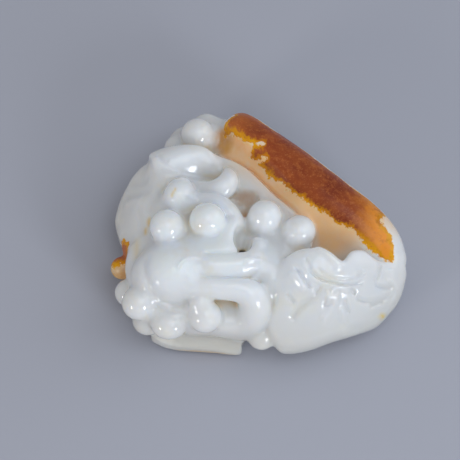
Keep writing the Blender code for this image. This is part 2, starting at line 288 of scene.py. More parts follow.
KNOT = ((-18.8, -11.8, 11.4, 6.0), (-16.3, -11.2, 12.2, 6.5), (-11.3, -10.3, 12.5, 5.9),
        (-6.6, -10.2, 12.6, 5.6), (-2.1, -9.6, 12.3, 5.2), (0.8, -8.6, 11.6, 4.0))
PLATE = ((-9.0, -8.0, 12.9), (8.0, 5.2, 4.9))
LOWER_STRAP = ((-15.6, -14.6, 14.0, 2.2), (-12.2, -14.8, 14.8, 2.4), (-7.5, -15.0, 15.0, 2.5),
               (-3.9, -15.4, 14.9, 2.6), (-1.6, -16.4, 14.1, 2.9), (-0.9, -17.7, 12.2, 3.2),
               (-1.1, -18.6, 9.8, 3.5), (-2.2, -18.8, 7.2, 3.6), (-3.8, -18.4, 5.0, 3.6))
STRAP_END = ((-0.3, -6.6, 14.9), 1.7)
TENDRIL = ((-14.2, 6.2, 13.2, 1.6), (-11.6, 5.9, 13.7, 1.7), (-9.2, 5.5, 14.2, 1.9),
           (-7.1, 5.7, 14.7, 2.3), (-6.0, 6.9, 14.9, 2.1), (-5.9, 8.6, 14.8, 1.3),
           (-6.5, 10.2, 14.5, 0.25))

# Hollows and the bore
RECESS = ((-5.8, 3.6, 14.8, 1.2), (-3.6, 3.5, 13.9, 1.6), (-1.4, 3.7, 14.4, 1.4),
          (-2.4, 2.4, 13.6, 1.5), (-2.9, 0.7, 13.0, 1.0))
CRESCENT = ((-12.6, 7.4, 15.0, 0.7), (-10.3, 7.3, 14.6, 1.0), (-8.3, 7.6, 14.4, 1.1),
            (-7.4, 8.8, 14.6, 0.9), (-6.9, 9.8, 15.0, 0.6))
LEAF_HOLLOW = ((11.4, -5.4, 16.0, 1.2), (13.6, -6.2, 14.4, 1.5), (15.7, -7.0, 14.0, 1.3))
HOOK_EYE = ((-9.4, -15.6), (-6.2, -15.4), (-2.6, -15.8), (-2.4, -18.0), (-3.4, -20.6), (-5.6, -22.2),
            (-7.4, -21.8), (-8.6, -19.4))
BORE = ((-3.2, -7.6, 14.0, 0.7), (-3.3, -6.4, 10.0, 0.7), (-3.4, -4.2, 5.0, 0.75),
        (-3.5, -1.4, -2.0, 0.8))
BORE_MOUTH = ((-3.1, -5.8, 16.8), (1.8, 3.1, 3.0))


def hook_floor(x, y):
    return 11.7 + 0.13 * (17.0 + y)


# Fruit: x, y, z and radius
FRUIT = {
    "crown": (-9.9, -2.2, 16.9, 3.5),
    "left": (-17.7, -3.0, 16.0, 3.3),
    "bud": (-15.4, 3.7, 15.6, 3.1),
    "middle": (1.1, -0.6, 15.2, 3.3),
    "right": (7.7, -3.6, 15.2, 3.1),
    "back": (-12.0, 18.4, 12.5, 3.3),
    "back_under": (-10.3, 21.7, 8.5, 3.1),
    "back_side": (-15.6, 16.9, 9.0, 3.1),
    "corner": (-22.9, -16.9, 11.5, 3.3),
    "corner_under": (-25.1, -13.4, 8.0, 2.7),
    "front_low": (-21.4, -18.4, 6.5, 3.0),
    "front": (-10.3, -19.6, 11.5, 3.2),
    "front_over": (-11.2, -17.8, 13.5, 2.3),
    "russet": (-26.6, -7.4, 6.0, 2.25),
    "under_hook": (0.5, -21.4, 6.0, 2.8),
}
SUNKEN_FRUIT = ("left", "middle", "right", "back", "bud")
BUD_NECK = ((-15.2, 4.6, 15.6, 2.5), (-14.8, 5.8, 15.4, 1.8), (-14.5, 6.8, 15.2, 0.9))

# Swellings that fill the stone between the carved forms: centre, radii and fillet
SWELLINGS = (
    ((-13.4, 1.9, 10.6), (11.0, 8.0, 4.8), 2.0),
    ((-11.0, -4.6, 11.4), (9.5, 7.6, 4.6), 1.5),
    ((-14.3, 0.4, 12.2), (5.0, 4.4, 3.2), 1.5),
    ((1.6, -1.2, 10.0), (10.0, 5.6, 3.6), 2.0),
    ((-10.6, -9.6, 11.6), (12.5, 7.8, 5.4), 1.5),
    ((-11.6, 18.6, 7.5), (6.5, 4.5, 4.5), 1.5),
    ((-8.6, 19.4, 8.0), (3.4, 4.6, 4.4), 1.5),
    ((-5.4, 7.4, 9.2), (7.0, 6.6, 3.8), 1.5),
    ((2.4, -11.0, 11.2), (4.4, 6.6, 5.2), 1.5),
    ((4.6, -6.4, 11.2), (5.0, 4.4, 3.8), 1.5),
    ((-10.0, -18.6, 8.2), (13.5, 3.2, 4.4), 1.5),
    ((6.5, 1.5, 10.0), (7.0, 4.6, 4.2), 2.5),
    ((-5.0, -18.6, 7.4), (5.4, 3.6, 4.8), 1.5),
    ((-19.4, -15.6, 9.6), (3.6, 3.6, 3.4), 1.5),
    ((-13.8, -3.4, 12.2), (5.4, 3.6, 3.9), 1.2),
    ((3.4, -4.6, 11.6), (5.8, 3.4, 3.5), 1.5),
    ((4.8, -0.4, 10.6), (4.6, 3.2, 3.6), 1.5),
    ((-14.6, 6.2, 11.4), (4.4, 3.4, 3.2), 1.5),
    ((-16.6, -17.8, 9.4), (6.4, 3.0, 3.2), 1.2),
)
PETAL_SWELLINGS = (
    ((-16.6, 7.4, 12.0), (3.6, 2.6, 2.9), 1.6),
    ((-18.8, 9.9, 12.2), (2.8, 3.2, 3.0), 2.0),
    ((-9.6, 11.6, 12.6), (2.6, 2.4, 2.7), 1.4),
)
FRUIT_SWELLINGS = (
    ((-17.2, -20.4, 9.5), (3.5, 3.0, 2.9), 0.5),
    ((-20.1, -16.6, 12.6), (1.6, 1.6, 1.6), 0.4),
)


def swell(stone, swellings):
    for centre, radii, blend in swellings:
        stone.add(ball(centre, radii), blend)


def carve_body(stone):
    stone.add(sheet(BODY, level(BODY_TOP), level(0.0), edge=4.0), blend=0.1)
    stone.keep(ball(*PEBBLE), blend=2.0)
    stone.add(bar(RIDGE, cuts=RIDGE_END), blend=1.5)
    stone.add(bar(RIDGE_BACK, cuts=RIDGE_END), blend=3.0)
    stone.add(bar(RIDGE_FRONT), blend=2.5)
    swell(stone, SWELLINGS)


def carve_leaves(stone):
    stone.add(leaf(RIGHT_LEAF, right_top, thickness=4.0, edge=1.0), blend=0.8)
    stone.add(leaf(LEFT_LEAF, left_top, thickness=4.0, edge=0.8), blend=1.5)
    stone.add(leaf(FRONT_LEAF, front_top, thickness=6.0, edge=0.3, foot=0.8), blend=0.6)


def carve_limbs(stone):
    stone.add(bar(BACK_ARM, flat=1.3), blend=0.7)
    stone.carve(bar(RECESS), blend=1.4)
    stone.carve(bar(CRESCENT), blend=0.6)
    stone.carve(bar(LEAF_HOLLOW), blend=1.2)
    stone.add(bar(FRONT_ARM, flat=0.9), blend=1.4)
    stone.add(bar(BRIDGE, flat=0.8), blend=1.2)
    stone.add(bar(KNOT), blend=1.4)
    stone.add(ball(*PLATE), blend=1.0)
    stone.carve(sheet(HOOK_EYE, level(18.0), hook_floor, edge=0.3), blend=1.0)
    stone.add(bar(LOWER_STRAP), blend=0.9)
    stone.add(ball(*STRAP_END), blend=1.0)
    stone.add(bar(TENDRIL), blend=0.7)
    stone.add(leaf(PETAL, petal_top, thickness=4.5, edge=0.4), blend=1.2)
    swell(stone, PETAL_SWELLINGS)
    stone.add(bar(OUTER_ARM), blend=1.0)


def carve_fruit(stone):
    for name, (x, y, z, radius) in FRUIT.items():
        stone.add(ball((x, y, z), radius), blend=1.4 if name in SUNKEN_FRUIT else 0.8)
    stone.add(bar(BUD_NECK), blend=0.6)
    swell(stone, FRUIT_SWELLINGS)


def carve_bore(stone):
    stone.carve(bar(BORE), blend=0.6)
    stone.carve(ball(*BORE_MOUTH), blend=0.7)


# Relief: lines seen from above, each with its height, negative for a groove, and its width.
# ARM_EDGE is where the arms drop to the wall below the skin
ARM_EDGE = ((-9.2, 13.6), (-5.8, 12.9), (-2.1, 10.7), (0.4, 8.1), (2.8, 5.4), (5.0, 3.1), (6.9, 1.1),
            (8.2, -0.9))
KNOT_RELIEF = (
    (((-11.2, -11.5), (-8.4, -11.8), (-4.7, -11.6), (-1.9, -11.0), (-0.2, -9.9)), 0.5, 1.3),
    (ARM_EDGE, -0.55, 0.4),
    ([(x - 0.6, y - 0.6) for x, y in ARM_EDGE], 0.3, 0.5),
    (((-3.6, -10.7), (-1.4, -10.6), (0.6, -10.2)), 0.3, 0.35),
    (((-3.4, -11.5), (-1.4, -11.4), (0.6, -11.2)), -0.15, 0.4),
    (((-12.0, -13.6), (-9.4, -13.8), (-6.0, -13.9), (-2.8, -13.6), (-1.3, -12.8), (-0.1, -12.0)),
     -0.45, 0.38),
    (((-15.5, -13.0), (-14.7, -11.5), (-13.2, -10.4)), 0.3, 0.3),
    (((-2.4, -13.6), (-0.8, -13.7), (0.8, -14.2)), -0.2, 0.4),
    (((-11.3, -9.4), (-8.4, -9.4), (-5.2, -9.2), (-2.9, -8.4)), -0.35, 0.4),
    (((-13.6, -13.6), (-12.6, -12.0), (-12.3, -10.4)), -0.2, 1.0),
    (((-20.8, -8.4), (-21.6, -12.0), (-20.2, -15.6), (-17.0, -17.6), (-12.6, -18.0)), -0.5, 0.7),
)
LEFT_RELIEF = (
    (((-20.2, 12.2), (-19.9, 11.1), (-18.7, 9.8), (-16.9, 9.0), (-15.0, 8.6)), 0.3, 0.5),
    (((-19.4, 12.6), (-18.8, 11.4), (-17.4, 10.4)), -0.2, 0.5),
    (((-17.6, 6.9), (-19.2, 5.2), (-20.7, 2.7), (-21.2, 0.1)), -0.35, 0.9),
    (((-26.6, 6.2), (-24.8, 6.2), (-22.6, 5.6), (-20.6, 5.8)), -0.2, 1.1),
    (((-26.8, 4.4), (-24.6, 4.6), (-22.6, 3.8)), 0.2, 1.0),
    (((-23.4, 3.2), (-22.8, -0.4), (-22.3, -4.0)), -0.25, 0.7),
    (((-25.4, 9.4), (-23.4, 8.4), (-21.2, 8.2)), -0.2, 0.9),
    (((-27.4, -1.4), (-25.4, -3.0), (-23.7, -4.8)), -0.35, 0.8),
    (((-20.7, -17.2), (-18.8, -18.3), (-16.6, -18.9), (-14.7, -19.4), (-13.2, -20.5)), -0.35, 0.5),
    (((-17.3, -18.0), (-15.4, -18.3), (-13.9, -18.2)), -0.3, 0.5),
)
LEAF_RELIEF = (
    (((9.9, -8.0), (11.6, -8.7), (13.3, -10.1), (14.8, -11.4), (15.5, -12.5)), 0.4, 0.7),
    (((8.5, -10.2), (9.1, -11.4), (9.8, -12.5)), -0.25, 0.3),
    (((8.5, -11.2), (9.8, -13.0), (11.7, -14.2), (14.3, -14.6), (16.3, -14.6), (18.7, -14.0),
      (20.2, -13.1)),
     -0.4, 0.32),
    (((8.0, -11.8), (9.3, -13.6), (11.5, -14.9), (14.3, -15.2), (16.3, -15.2), (18.4, -14.7)),
     0.22, 0.4),
    (((10.6, -12.0), (12.1, -13.2), (14.6, -13.9), (17.8, -13.5), (19.4, -12.6), (21.0, -11.2)),
     -0.25, 0.3),
    (((18.1, -12.8), (19.0, -12.3), (19.8, -11.7)), -0.2, 0.3),
    (((13.2, -16.3), (13.8, -16.0), (14.8, -15.6), (16.3, -15.5), (17.1, -15.7)), 0.25, 0.35),
    (((12.4, -17.4), (13.8, -17.1), (15.2, -17.3)), 0.4, 0.9),
    (((12.0, -18.3), (12.9, -18.1), (14.2, -18.0)), -0.25, 0.3),
    (((17.2, -15.1), (17.7, -15.4), (18.3, -15.8)), -0.4, 0.4),
    (((18.1, -15.8), (19.0, -16.4), (20.7, -16.4), (23.7, -15.2), (26.4, -13.3)), -0.3, 0.4),
    (((16.2, -16.8), (16.6, -17.8), (17.3, -18.8)), -0.25, 0.35),
    (((20.9, -17.1), (21.8, -16.7), (22.9, -16.1), (24.0, -15.4)), -0.25, 0.3),
    (((6.1, -11.7), (7.4, -12.9), (8.5, -14.5), (9.3, -15.3), (9.9, -15.5)), -0.4, 0.35),
    (((5.4, -12.3), (6.7, -13.6), (7.8, -15.2), (8.7, -16.1)), 0.3, 0.6),
    (((10.2, -16.4), (11.0, -15.9), (11.6, -15.3)), -0.35, 0.35),
    (((5.2, -16.4), (5.7, -17.1), (6.9, -18.4)), -0.35, 0.4),
    (((6.1, -20.9), (6.5, -20.0), (7.6, -18.7), (9.9, -17.2), (12.1, -15.9)), -0.3, 0.7),
    (((14.4, -17.8), (13.4, -19.2), (11.6, -20.8)), 0.2, 0.7),
    (((15.4, -18.0), (16.0, -19.4), (16.2, -20.8)), 0.2, 0.6),
    (((23.0, -9.7), (22.8, -11.3), (21.8, -13.2)), -0.4, 0.45),
    (((21.8, -13.3), (23.5, -13.5), (26.0, -12.8)), -0.3, 0.4),
    (((25.0, -9.8), (25.7, -11.4), (25.4, -12.6)), 0.3, 1.1),
    (((16.2, -21.2), (17.7, -20.7), (20.5, -19.5), (22.3, -18.0), (24.4, -16.2), (26.0, -14.0)),
     -0.15, 0.4),
)


def carve_relief(stone):
    for relief, share, floor in ((KNOT_RELIEF, 1.0, 9.0), (LEAF_RELIEF, 1.3, 3.0), (LEFT_RELIEF, 1.0, 5.0)):
        for rows, height, width in relief:
            stone.emboss(rows, share * height, width, floor)


# Plain low relief on the sides, each piece laid on the surface.
# A leaf is its middle, its turn and its length; a fruit is its middle and radius
BACK_VINE = ((-14.0, 20.0, 4.0, 0.9), (-7.0, 23.5, 5.6, 1.2), (-1.0, 21.5, 3.8, 1.3),
             (5.0, 17.5, 5.6, 1.3), (11.0, 13.5, 3.8, 1.2), (17.0, 8.0, 5.4, 1.1),
             (22.5, 1.0, 4.2, 0.6))
LEFT_VINE = ((-16.5, 18.5, 3.0, 0.8), (-21.5, 14.0, 4.0, 1.0), (-25.5, 8.0, 2.6, 1.0),
             (-26.6, 2.0, 3.4, 0.9), (-26.0, -4.5, 2.4, 0.8), (-24.6, -11.0, 3.0, 0.5))
FRONT_VINE = ((2.0, -21.5, 3.0, 0.7), (9.0, -19.0, 4.0, 1.0), (16.0, -15.5, 3.0, 1.0),
              (21.5, -11.0, 4.2, 0.9), (24.5, -5.5, 3.2, 0.5))
SIDE_LEAVES = (
    ((-3.0, 22.4, 6.2), 143.0, 3.6),
    ((8.2, 15.6, 7.2), -38.0, 4.4),
    ((18.8, 7.0, 7.2), -46.0, 3.8),
    ((-23.4, 11.4, 4.6), 56.0, 3.0),
    ((13.0, -17.6, 5.0), 28.0, 2.8),
)
SIDE_FRUIT = (
    ((1.6, 20.0, 7.4), 2.1),
    ((3.4, 18.8, 4.4), 1.9),
    ((14.0, 11.4, 7.0), 2.0),
    ((15.4, 9.8, 4.4), 1.7),
    ((-12.2, 21.4, 5.0), 1.6),
)
SIDE_LEAF_THICKNESS = 1.2
VEIN_RADIUS = 0.45
# A vein's start and end along the leaf and its rise, as shares of the leaf's length
VEINS = ((-0.8, 0.8, 0.0), (-0.05, 0.35, 0.24), (-0.05, 0.35, -0.24))


def laid(stone, rows, sink):
    """Rows of x, y, z and radius moved to the surface and then below it by a share of the radius."""
    rows = np.array(rows, float)
    points = rows[:, :3]
    for _ in range(8):
        way = slope(stone, points)
        size = np.maximum((way ** 2).sum(1), LEAST_SLOPE)
        gap = np.clip(trilinear(stone.value, stone, points) / size, -1.0, 1.0)
        points = points - way * gap[:, None]
    way = way / np.sqrt(size)[:, None]
    return np.column_stack([points - sink * rows[:, 3:] * way, rows[:, 3]])


def carve_side_leaf(stone, centre, turn, size):
    middle = laid(stone, [(*centre, 1.0)], sink=0.35)[0][:3]
    stone.add(ball(middle, (size, SIDE_LEAF_THICKNESS, 0.5 * size), turn), blend=0.5)
    along = np.array((np.cos(np.radians(turn)), np.sin(np.radians(turn)), 0.0))
    up = np.array((0.0, 0.0, 1.0))
    for start, end, rise in VEINS:
        root = middle + along * size * start
        tip = middle + along * size * end + up * size * rise
        rows = [(*(root + (tip - root) * part), VEIN_RADIUS) for part in (0.0, 0.35, 0.7, 1.0)]
        stone.carve(bar(laid(stone, rows, sink=-0.4)), blend=0.4)


def carve_sides(stone):
    for vine in (BACK_VINE, LEFT_VINE, FRONT_VINE):
        stone.add(bar(laid(stone, vine, sink=0.55)), blend=0.7)
    for centre, radius in SIDE_FRUIT:
        middle = laid(stone, [(*centre, radius)], sink=0.35)[0][:3]
        stone.add(ball(middle, radius), blend=0.5)
    for centre, turn, size in SIDE_LEAVES:
        carve_side_leaf(stone, centre, turn, size)


def carve_stone(step):
    stone = Stone(*BLOCK, step)
    carve_body(stone)
    carve_leaves(stone)
    carve_limbs(stone)
    carve_fruit(stone)
    carve_bore(stone)
    carve_relief(stone)
    carve_sides(stone)
    height = stone.low[2] + stone.step * np.arange(stone.count[2])
    stone.value = np.maximum(stone.value, -height[None, None, :].astype(np.float32))
    return stone


def trilinear(grid, stone, points):
    """The grid's value at points."""
    at = np.clip((points - stone.low) / stone.step, 0, np.array(grid.shape) - 1.001)
    low = at.astype(int)
    part = at - low
    total = 0.0
    for i in (0, 1):
        for j in (0, 1):
            for k in (0, 1):
                share = np.abs(1 - i - part[:, 0]) * np.abs(1 - j - part[:, 1]) * np.abs(1 - k - part[:, 2])
                total = total + share * grid[low[:, 0] + i, low[:, 1] + j, low[:, 2] + k]
    return total


def slope(stone, points):
    """The direction in which the distance grows, at points on the surface."""
    reach = 0.6 * stone.step
    parts = []
    for axis in range(3):
        shift = np.zeros(3)
        shift[axis] = reach
        ahead = trilinear(stone.value, stone, points + shift)
        parts.append(ahead - trilinear(stone.value, stone, points - shift))
    return np.stack(parts, 1) / (2 * reach)


def resampled(stone, step):
    """The same stone on a coarser grid."""
    size = stone.step * (np.array(stone.value.shape) - 1)
    coarse = Stone(stone.low, stone.low + size - step, step)
    for k in range(coarse.count[2]):
        flat = np.meshgrid(np.arange(coarse.count[0]), np.arange(coarse.count[1]), [k], indexing="ij")
        points = np.stack([axis.ravel() for axis in flat], 1) * step + stone.low
        coarse.value[:, :, k] = trilinear(stone.value, stone, points).reshape(coarse.count[:2])
    return coarse


def blurred(grid, reach):
    """The grid smoothed along each axis by a bell of that reach in cells."""
    taps = np.arange(-2 * reach, 2 * reach + 1)
    bell = np.exp(-2.0 * (taps / reach) ** 2)
    bell = (bell / bell.sum()).astype(np.float32)
    for axis in range(3):
        padded = np.moveaxis(grid, axis, 0)
        padded = np.pad(padded, ((2 * reach, 2 * reach), (0, 0), (0, 0)), mode="edge")
        length = grid.shape[axis]
        total = np.zeros((length, *padded.shape[1:]), np.float32)
        for i, share in enumerate(bell):
            total += share * padded[i:i + length]
        grid = np.moveaxis(total, 0, axis)
    return grid


def surface_net(stone):
    """Vertices and quads of the surface: a vertex for each grid cell that it crosses, at the mean of
    its crossings, and a quad for each grid edge that it crosses."""
    v = stone.value
    _, ny, nz = v.shape
    inside = v < 0
    every_cell, every_pos, quads = [], [], []
    for axis in range(3):
        here, ahead = [slice(None)] * 3, [slice(None)] * 3
        here[axis], ahead[axis] = slice(0, -1), slice(1, None)
        at = np.argwhere(inside[tuple(here)] != inside[tuple(ahead)])
        o1, o2 = (axis + 1) % 3, (axis + 2) % 3
        at = at[(at[:, o1] > 0) & (at[:, o2] > 0)
                & (at[:, o1] < v.shape[o1] - 1) & (at[:, o2] < v.shape[o2] - 1)]
        ends = at.copy()
        ends[:, axis] += 1
        va, vb = v[tuple(at.T)], v[tuple(ends.T)]
        pos = at.astype(np.float32)
        pos[:, axis] += va / (va - vb)
        around = []
        for d1, d2 in ((0, 0), (-1, 0), (-1, -1), (0, -1)):
            i, j, k = [at[:, n] + (d1 if n == o1 else d2 if n == o2 else 0) for n in range(3)]
            around.append((i * ny + j) * nz + k)
            every_pos.append(pos)
        every_cell.extend(around)
        quad = np.stack(around, 1)
        flip = va > 0
        quad[flip] = quad[flip][:, ::-1]
        quads.append(quad)
    used, index = np.unique(np.concatenate(every_cell), return_inverse=True)
    pos = np.concatenate(every_pos)
    count = np.bincount(index)
    points = np.stack([np.bincount(index, weights=pos[:, k]) / count for k in range(3)], 1)
    faces = np.searchsorted(used, np.concatenate(quads))
    return points * stone.step + stone.low, faces


def mesh_from(points, faces, name):
    mesh = bpy.data.meshes.new(name)
    mesh.vertices.add(len(points))
    mesh.vertices.foreach_set("co", (points / MM_PER_METRE).astype(np.float32).ravel())
    mesh.loops.add(faces.size)
    mesh.loops.foreach_set("vertex_index", faces.astype(np.int32).ravel())
    mesh.polygons.add(len(faces))
    mesh.polygons.foreach_set("loop_start", np.arange(0, faces.size, faces.shape[1], dtype=np.int32))
    mesh.update(calc_edges=True)
    mesh.validate()
    return mesh


# Below this cosine between the carved surface's direction and the mesh's, the mesh's is kept
LEAST_MATCH = 0.8


def settle(mesh, stone):
    """Evens the vertices out, moves them onto the carved surface and turns the shading with it."""
    points = np.zeros(3 * len(mesh.vertices), np.float32)
    mesh.vertices.foreach_get("co", points)
    points = points.reshape(-1, 3).astype(float) * MM_PER_METRE
    ends = np.zeros(2 * len(mesh.edges), np.int32)
    mesh.edges.foreach_get("vertices", ends)
    here = np.concatenate([ends[0::2], ends[1::2]])
    there = np.concatenate([ends[1::2], ends[0::2]])
    count = np.maximum(np.bincount(here, minlength=len(points)), 1)
    furthest = 0.3 * stone.step
    for pull in (0.5, 0.5, 0.5, 0.3, 0.0):
        way = slope(stone, points)
        size = np.maximum((way ** 2).sum(1), LEAST_SLOPE)
        sums = np.stack([np.bincount(here, points[there, k], len(points)) for k in range(3)], 1)
        shift = pull * (sums / count[:, None] - points)
        points += shift - way * ((shift * way).sum(1) / size)[:, None]
        gap = trilinear(stone.value, stone, points)
        points -= way * np.clip(gap / size, -furthest, furthest)[:, None]
    points[:, 2] = np.maximum(points[:, 2], 0.0)
    mesh.vertices.foreach_set("co", (points / MM_PER_METRE).astype(np.float32).ravel())
    mesh.shade_smooth()
    mesh.update()
    plain = np.zeros(3 * len(points), np.float32)
    mesh.vertex_normals.foreach_get("vector", plain)
    plain = plain.reshape(-1, 3)
    way = slope(stone, points)
    way /= np.maximum(np.linalg.norm(way, axis=1), 1e-6)[:, None]
    apart = (way * plain).sum(1) < LEAST_MATCH
    way[apart] = plain[apart]
    mesh.normals_split_custom_set_from_vertices(way.astype(np.float32).tolist())
    mesh.update()
    return points, way


# Where the russet skin lies, seen from above, how low it goes, and its spot on the left side
SKIN = ((-6.9, 19.3), (-6.7, 18.1), (-5.0, 17.6), (-3.9, 16.7), (-2.6, 15.6), (-1.6, 14.9), (0.9, 14.2),
        (-1.3, 13.7), (-1.7, 12.7), (-1.0, 11.8), (1.3, 11.5), (-0.1, 10.9), (0.6, 10.3), (2.9, 7.9),
        (4.8, 6.0), (7.2, 4.2), (9.1, 2.7), (11.8, 0.7), (14.5, -1.5), (17.6, -3.2), (19.9, -5.1),
        (21.9, -6.9), (23.9, -8.6), (25.2, -8.7), (25.9, -6.6), (25.1, -3.8), (23.9, -2.3),
        (23.5, -1.1), (24.6, 1.6), (23.4, 6.4), (18.1, 11.6), (12.9, 16.0), (7.5, 20.2), (2.1, 24.7),
        (-2.6, 26.6), (-4.4, 24.0), (-4.8, 21.4))
SKIN_FOOT = 8.6
RUSSET_SPOT = ((-27.2, -5.0, 7.4), (3.4, 2.6, 3.8))
# The ridge's axis: a point and its direction from above, its height, and where and how fast it drops
RIDGE_MIDDLE = (7.3, 9.2)
RIDGE_WAY = (0.775, -0.632)
RIDGE_HEIGHT = 11.1
RIDGE_DROP = (8.0, 0.008)
# The skin's edge behind the ridge: how far back, its waves as size, rate and start, one lobe that runs
# further down, as size, place and width, the slope it is measured on, and how much sharper it fades
BACK_EDGE = 0.95
BACK_WAVES = ((0.3, 0.31, 0.5), (0.2, 0.83, 2.0))
BACK_LOBE = (2.4, -5.0, 2.6)
BACK_SLOPE = 0.707
BACK_SHARPNESS = 1.6

# Stains in the stone: centre, radii, softness and share. In the recess they stand partly for painted warm
# shade
AMBER = (
    ((-6.6, 16.6, 12.0), (2.0, 3.2, 4.8), 3.6, 0.85),
    # This spot and the one at (-2.7, 4.3) darken the recess and its V tip: partly the stone's own amber,
    # partly painted warm shade
    ((-2.9, 0.7, 12.6), (1.5, 2.2, 2.4), 2.8, 0.6),
    ((-3.4, 15.4, 12.5), (2.6, 2.4, 3.0), 4.0, 0.4),
    ((-2.7, 4.3, 12.8), (2.6, 2.1, 2.2), 3.0, 0.45),
    ((-12.0, -23.2, 1.2), (9.0, 0.9, 1.1), 1.4, 0.55),
    ((-27.0, -8.0, 6.4), (2.8, 2.6, 3.2), 1.4, 0.7),
)
YELLOW = (
    ((23.6, -17.6, 6.2), (1.5, 0.3, 0.8), 1.2, 0.9),
    ((-16.7, 2.6, 18.0), (0.2, 0.4, 1.2), 0.8, 0.7),
    ((-16.4, 3.1, 18.0), (0.2, 0.4, 1.2), 0.8, 0.7),
    ((-16.1, 3.6, 18.0), (0.2, 0.4, 1.2), 0.8, 0.7),
    ((-21.9, -2.7, 14.0), (0.4, 0.8, 1.6), 0.9, 0.6),
    ((-21.2, -1.2, 14.4), (0.4, 0.9, 1.6), 1.0, 0.6),
    ((-20.1, -0.9, 15.6), (0.4, 0.6, 1.4), 0.9, 0.4),
    ((-23.6, -6.4, 12.0), (0.5, 2.4, 2.0), 1.6, 0.3),
)
WARM = (
    ((9.0, 1.0, 11.0), (19.0, 9.0, 8.0), 5.0, 1.0),
    # This spot covers the recess: partly the stone's own peach, partly painted warm shade
    ((-2.6, 6.6, 12.0), (7.0, 6.0, 5.0), 4.0, 1.0),
    ((-3.6, 14.4, 13.0), (3.6, 3.6, 4.6), 2.0, 1.0),
    ((0.6, 12.4, 14.6), (3.4, 3.4, 3.0), 2.0, 1.0),
)
# The wall below the skin, seen from above, takes more of the warm tint than the arm in front of it
WALL = (*ARM_EDGE, (10.9, -1.6), (11.6, -5.0), (12.5, -7.0), (16.0, -9.5), (24.0, -8.0), (24.0, 0.0),
        (10.0, 14.0), (0.0, 20.0), (-9.5, 20.0))
# The warm tint beside the skin, partly the stone's own peach and partly painted glow of light through the
# skin: its reach, the wall's extra reach, the widths that it and the wall fade over, the height above which
# it draws back and how fast, and its share off the wall
WARM_REACH = 9.0
WALL_REACH = 1.5
WARM_FADE = 6.5
WALL_FADE = 0.7
WARM_HEIGHT = 11.5
WARM_DROP = 0.8
ARM_SHARE = 0.55
# Hollows are looked for around a point above each vertex, for the painted shade in them: the reach and the
# point's height
NARROW_HOLLOW = (0.9, 0.5)
WIDE_HOLLOW = (3.2, 1.2)


def soft_spots(spots, x, y, z):
    total = np.zeros(np.shape(x))
    for centre, radii, softness, share in spots:
        near = np.clip(0.5 - ball(centre, radii).distance(x, y, z) / softness, 0, 1)
        total = np.maximum(total, share * smooth_step(near))
    return total


def skin_distance(x, y, z):
    along = (x - RIDGE_MIDDLE[0]) * RIDGE_WAY[0] + (y - RIDGE_MIDDLE[1]) * RIDGE_WAY[1]
    behind = (y - RIDGE_MIDDLE[1]) * RIDGE_WAY[0] - (x - RIDGE_MIDDLE[0]) * RIDGE_WAY[1]
    axis = RIDGE_HEIGHT - RIDGE_DROP[1] * np.maximum(x - RIDGE_DROP[0], 0.0) ** 2
    back = BACK_EDGE
    for size, rate, start in BACK_WAVES:
        back = back + size * np.sin(rate * along + start)
    size, middle, width = BACK_LOBE
    back = back + size * np.exp(-((along - middle) / width) ** 2)
    skin = np.maximum(ring_distance(SKIN, x, y), SKIN_FOOT - z)
    skin = np.maximum(skin, BACK_SHARPNESS * (BACK_SLOPE * (behind - z + axis) - back))
    return np.minimum(skin, ball(*RUSSET_SPOT).distance(x, y, z))


def warm_share(skin, x, y, z):
    wall = np.clip(0.5 - ring_distance(WALL, x, y) / WALL_FADE, 0, 1)
    reach = WARM_REACH + WALL_REACH * wall - WARM_DROP * np.maximum(z - WARM_HEIGHT, 0.0)
    near = np.clip((reach - skin) / WARM_FADE, 0, 1)
    return soft_spots(WARM, x, y, z) * smooth_step(near) * (ARM_SHARE + (1 - ARM_SHARE) * wall)


def note(mesh, name, values):
    """Keeps one number for each vertex, for the material to read."""
    mesh.attributes.new(name, "FLOAT", "POINT").data.foreach_set("value", values.astype(np.float32))


def note_hollow_shade(mesh, stone, points, way):
    """Notes how much stone lies close around each vertex, and how much further out, for the painted shade
    in hollows.
    """
    solid = (stone.value < 0).astype(np.float32)
    reach, height = NARROW_HOLLOW
    near = blurred(solid, round(reach / stone.step))
    note(mesh, "narrow_hollow_shade", trilinear(near, stone, points + height * way))
    half = Stone(stone.low, stone.low, 2 * stone.step)
    reach, height = WIDE_HOLLOW
    far = blurred(solid[::2, ::2, ::2], round(reach / half.step))
    note(mesh, "wide_hollow_shade", trilinear(far, half, points + height * way))


def note_stains(mesh, points):
    x, y, z = points.T
    skin = skin_distance(x, y, z)
    note(mesh, "skin", skin)
    note(mesh, "amber", soft_spots(AMBER, x, y, z))
    note(mesh, "yellow", soft_spots(YELLOW, x, y, z))
    note(mesh, "warm", warm_share(skin, x, y, z))


# Colours as a picture shows them, from 0 to 255
# Whites: dimmer and warmer low down is painted shade, brighter and bluer on top is painted light
LOW_PAINTED_SHADE_WHITE = (207, 205, 198)
WHITE = (227, 229, 231)
TOP_PAINTED_LIGHT_WHITE = (237, 244, 254)
CLOUDY_WHITE = (230, 229, 222)
# Painted shade, warm and dim, in wide hollows and in narrow creases
WIDE_HOLLOW_PAINTED_SHADE = (231, 223, 207)
NARROW_HOLLOW_PAINTED_SHADE = (228, 222, 208)
CUT_WHITE = (240, 220, 170)
